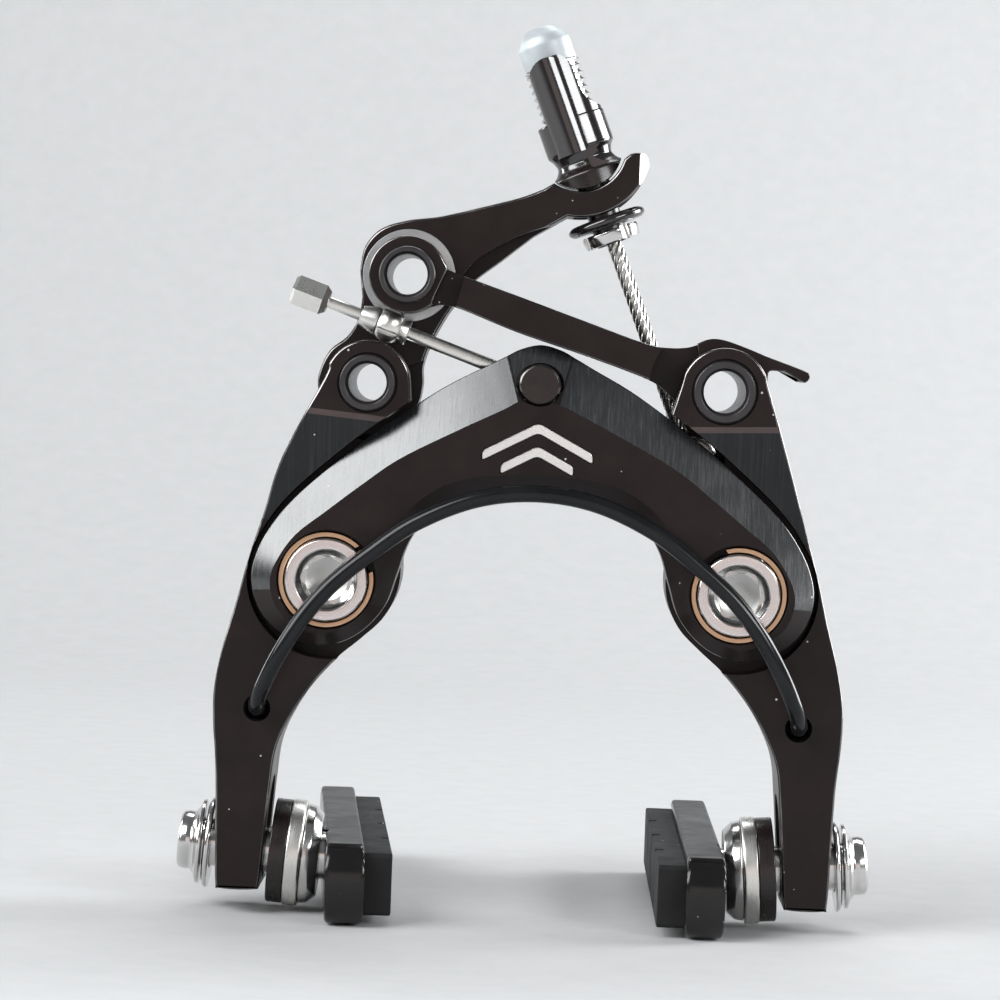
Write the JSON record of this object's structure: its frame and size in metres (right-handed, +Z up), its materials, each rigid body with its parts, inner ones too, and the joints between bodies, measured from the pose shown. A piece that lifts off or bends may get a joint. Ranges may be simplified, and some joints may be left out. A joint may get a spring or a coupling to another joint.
{
  "type": "rim brake caliper",
  "caption": "Road bicycle rim brake caliper whose two arms turn on a front bridge, closed together by a rocker and a link as the cable pulls.",
  "frame": {"origin": "on the floor under the middle of the caliper's box, with the caliper standing on its two pad holders", "axes": "+Z up through the bridge to the cable adjuster, -Y towards the front of the bicycle, +X to the right seen from the front"},
  "size_m": [0.0706, 0.0522, 0.091],
  "materials": {
    "black_anodised": "black anodised, fine machining lines and bright edges",
    "polished_steel": "polished titanium and steel hardware",
    "grey_aluminium": "grey turned washers",
    "bronze": "bronze rings and bushes",
    "black_wire": "satin black spring wire",
    "cap_grey": "light grey satin end cap",
    "pad_rubber": "dull black brake rubber"
  },
  "bodies": {
    "bridge": {"bridge": "black_anodised", "mount_stud": "polished_steel", "seat_washer": "polished_steel", "sleeve_nut": "polished_steel", "pivot_bolt_left": "polished_steel", "pivot_bolt_right": "polished_steel", "pivot_ring_left": "bronze", "pivot_ring_right": "bronze", "pivot_bushing_left": "bronze", "pivot_bushing_right": "bronze", "pivot_nut_left": "polished_steel", "pivot_nut_right": "polished_steel", "return_spring": "black_wire"},
    "left_arm": {"left_arm": "black_anodised", "rocker_axle": "black_anodised", "rocker_axle_nut": "polished_steel", "rocker_spacer": "grey_aluminium"},
    "right_arm": {"right_arm": "black_anodised", "link_axle_right": "black_anodised", "link_axle_nut": "polished_steel", "link_spacer": "grey_aluminium"},
    "rocker": {"rocker": "black_anodised", "link_axle_left": "black_anodised", "link_axle_left_nut": "polished_steel", "link_washer": "grey_aluminium", "ball_pin": "polished_steel"},
    "link": {"link": "black_anodised"},
    "release_lever": {"release_lever": "black_anodised"},
    "trunnion": {"centring_trunnion": "black_anodised", "centring_ball": "polished_steel"},
    "centring_screw": {"centring_rod": "polished_steel"},
    "adjuster": {"adjuster_base": "black_anodised", "adjuster_washer": "black_anodised", "adjuster_nut": "polished_steel"},
    "barrel": {"adjuster_screw": "polished_steel", "housing_cap": "cap_grey"},
    "cable": {"inner_cable": "polished_steel", "cable_anchor": "polished_steel", "anchor_clip": "polished_steel"},
    "carrier_left": {"pad_bolt_left": "polished_steel", "dished_washer_left": "polished_steel", "pad_spacer_left": "black_anodised", "cup_washer_left": "polished_steel", "cone_washer_left": "polished_steel"},
    "carrier_right": {"pad_bolt_right": "polished_steel", "dished_washer_right": "polished_steel", "pad_spacer_right": "black_anodised", "cup_washer_right": "polished_steel", "cone_washer_right": "polished_steel"},
    "pad_left": {"pad_holder_left": "black_anodised", "brake_pad_left": "pad_rubber"},
    "pad_right": {"pad_holder_right": "black_anodised", "brake_pad_right": "pad_rubber"}
  },
  "joints": [
    {"name": "left_arm_pivot", "type": "hinge", "parent": "bridge", "child": "left_arm", "pos_m": [-0.0206, -0.0147, 0.0342], "axis": [0, -1, 0], "range_deg": [0, 5], "stiffness_Nm_per_rad": 0.3, "springref_deg": -20.05, "deforming": ["return_spring"]},
    {"name": "right_arm_pivot", "type": "hinge", "parent": "bridge", "child": "right_arm", "pos_m": [0.0206, -0.0147, 0.0342], "axis": [0, 1, 0], "range_deg": [0, 5]},
    {"name": "rocker_pivot", "type": "hinge", "parent": "left_arm", "child": "rocker", "pos_m": [-0.0172, -0.0135, 0.054], "axis": [0, 1, 0], "range_deg": [0, 21]},
    {"name": "link_pivot", "type": "hinge", "parent": "rocker", "child": "link", "pos_m": [-0.0136, -0.0195, 0.0649], "axis": [0, -1, 0], "range_deg": [0, 19]},
    {"name": "trunnion_swing", "type": "hinge", "parent": "bridge", "child": "trunnion", "pos_m": [0, -0.0195, 0.0544], "axis": [0, -1, 0], "range_deg": [0, 2]},
    {"name": "centring_screw_turn", "type": "hinge", "parent": "trunnion", "child": "centring_screw", "pos_m": [0, -0.01947, 0.0544], "axis": [-0.9443, 0, 0.329], "range_deg": [-180, 180]},
    {"name": "adjuster_swivel", "type": "hinge", "parent": "rocker", "child": "adjuster", "pos_m": [0.0031, -0.0135, 0.0787], "axis": [0, -1, 0], "range_deg": [0, 15]},
    {"name": "barrel_turn", "type": "hinge", "parent": "adjuster", "child": "barrel", "pos_m": [0.0031, -0.01347, 0.0787], "axis": [-0.3694, 0, 0.9293], "range_deg": [-180, 180]},
    {"name": "cable_swing", "type": "hinge", "parent": "right_arm", "child": "cable", "pos_m": [0.0157, -0.0135, 0.047], "axis": [0, -1, 0], "range_deg": [0, 4]},
    {"name": "release_lever_pivot", "type": "hinge", "parent": "right_arm", "child": "release_lever", "pos_m": [0.0184, -0.019, 0.0544], "axis": [0, -1, 0], "range_deg": [0, 45]},
    {"name": "pad_slide_left", "type": "slide", "parent": "left_arm", "child": "carrier_left", "axis": [0, 0, 1], "range_m": [0, 0.0045]},
    {"name": "pad_slide_right", "type": "slide", "parent": "right_arm", "child": "carrier_right", "axis": [0, 0, 1], "range_m": [0, 0.0045]},
    {"name": "pad_pitch_left", "type": "hinge", "parent": "carrier_left", "child": "pad_left", "pos_m": [-0.0261, -0.01357, 0.0059], "axis": [-0.9968, 0, 0.0802], "range_deg": [-5, 5]},
    {"name": "pad_pitch_right", "type": "hinge", "parent": "carrier_right", "child": "pad_right", "pos_m": [0.0261, -0.01357, 0.0059], "axis": [0.9968, 0, 0.0802], "range_deg": [-5, 5]}
  ],
  "couplings": [
    {"joint": "right_arm_pivot", "follows": "left_arm_pivot", "ratio": 1},
    {"joint": "rocker_pivot", "follows": "left_arm_pivot", "ratio": 4.16},
    {"joint": "link_pivot", "follows": "left_arm_pivot", "ratio": 3.66},
    {"joint": "trunnion_swing", "follows": "left_arm_pivot", "ratio": 0.355},
    {"joint": "adjuster_swivel", "follows": "left_arm_pivot", "ratio": 2.9},
    {"joint": "cable_swing", "follows": "left_arm_pivot", "ratio": 0.735}
  ]
}
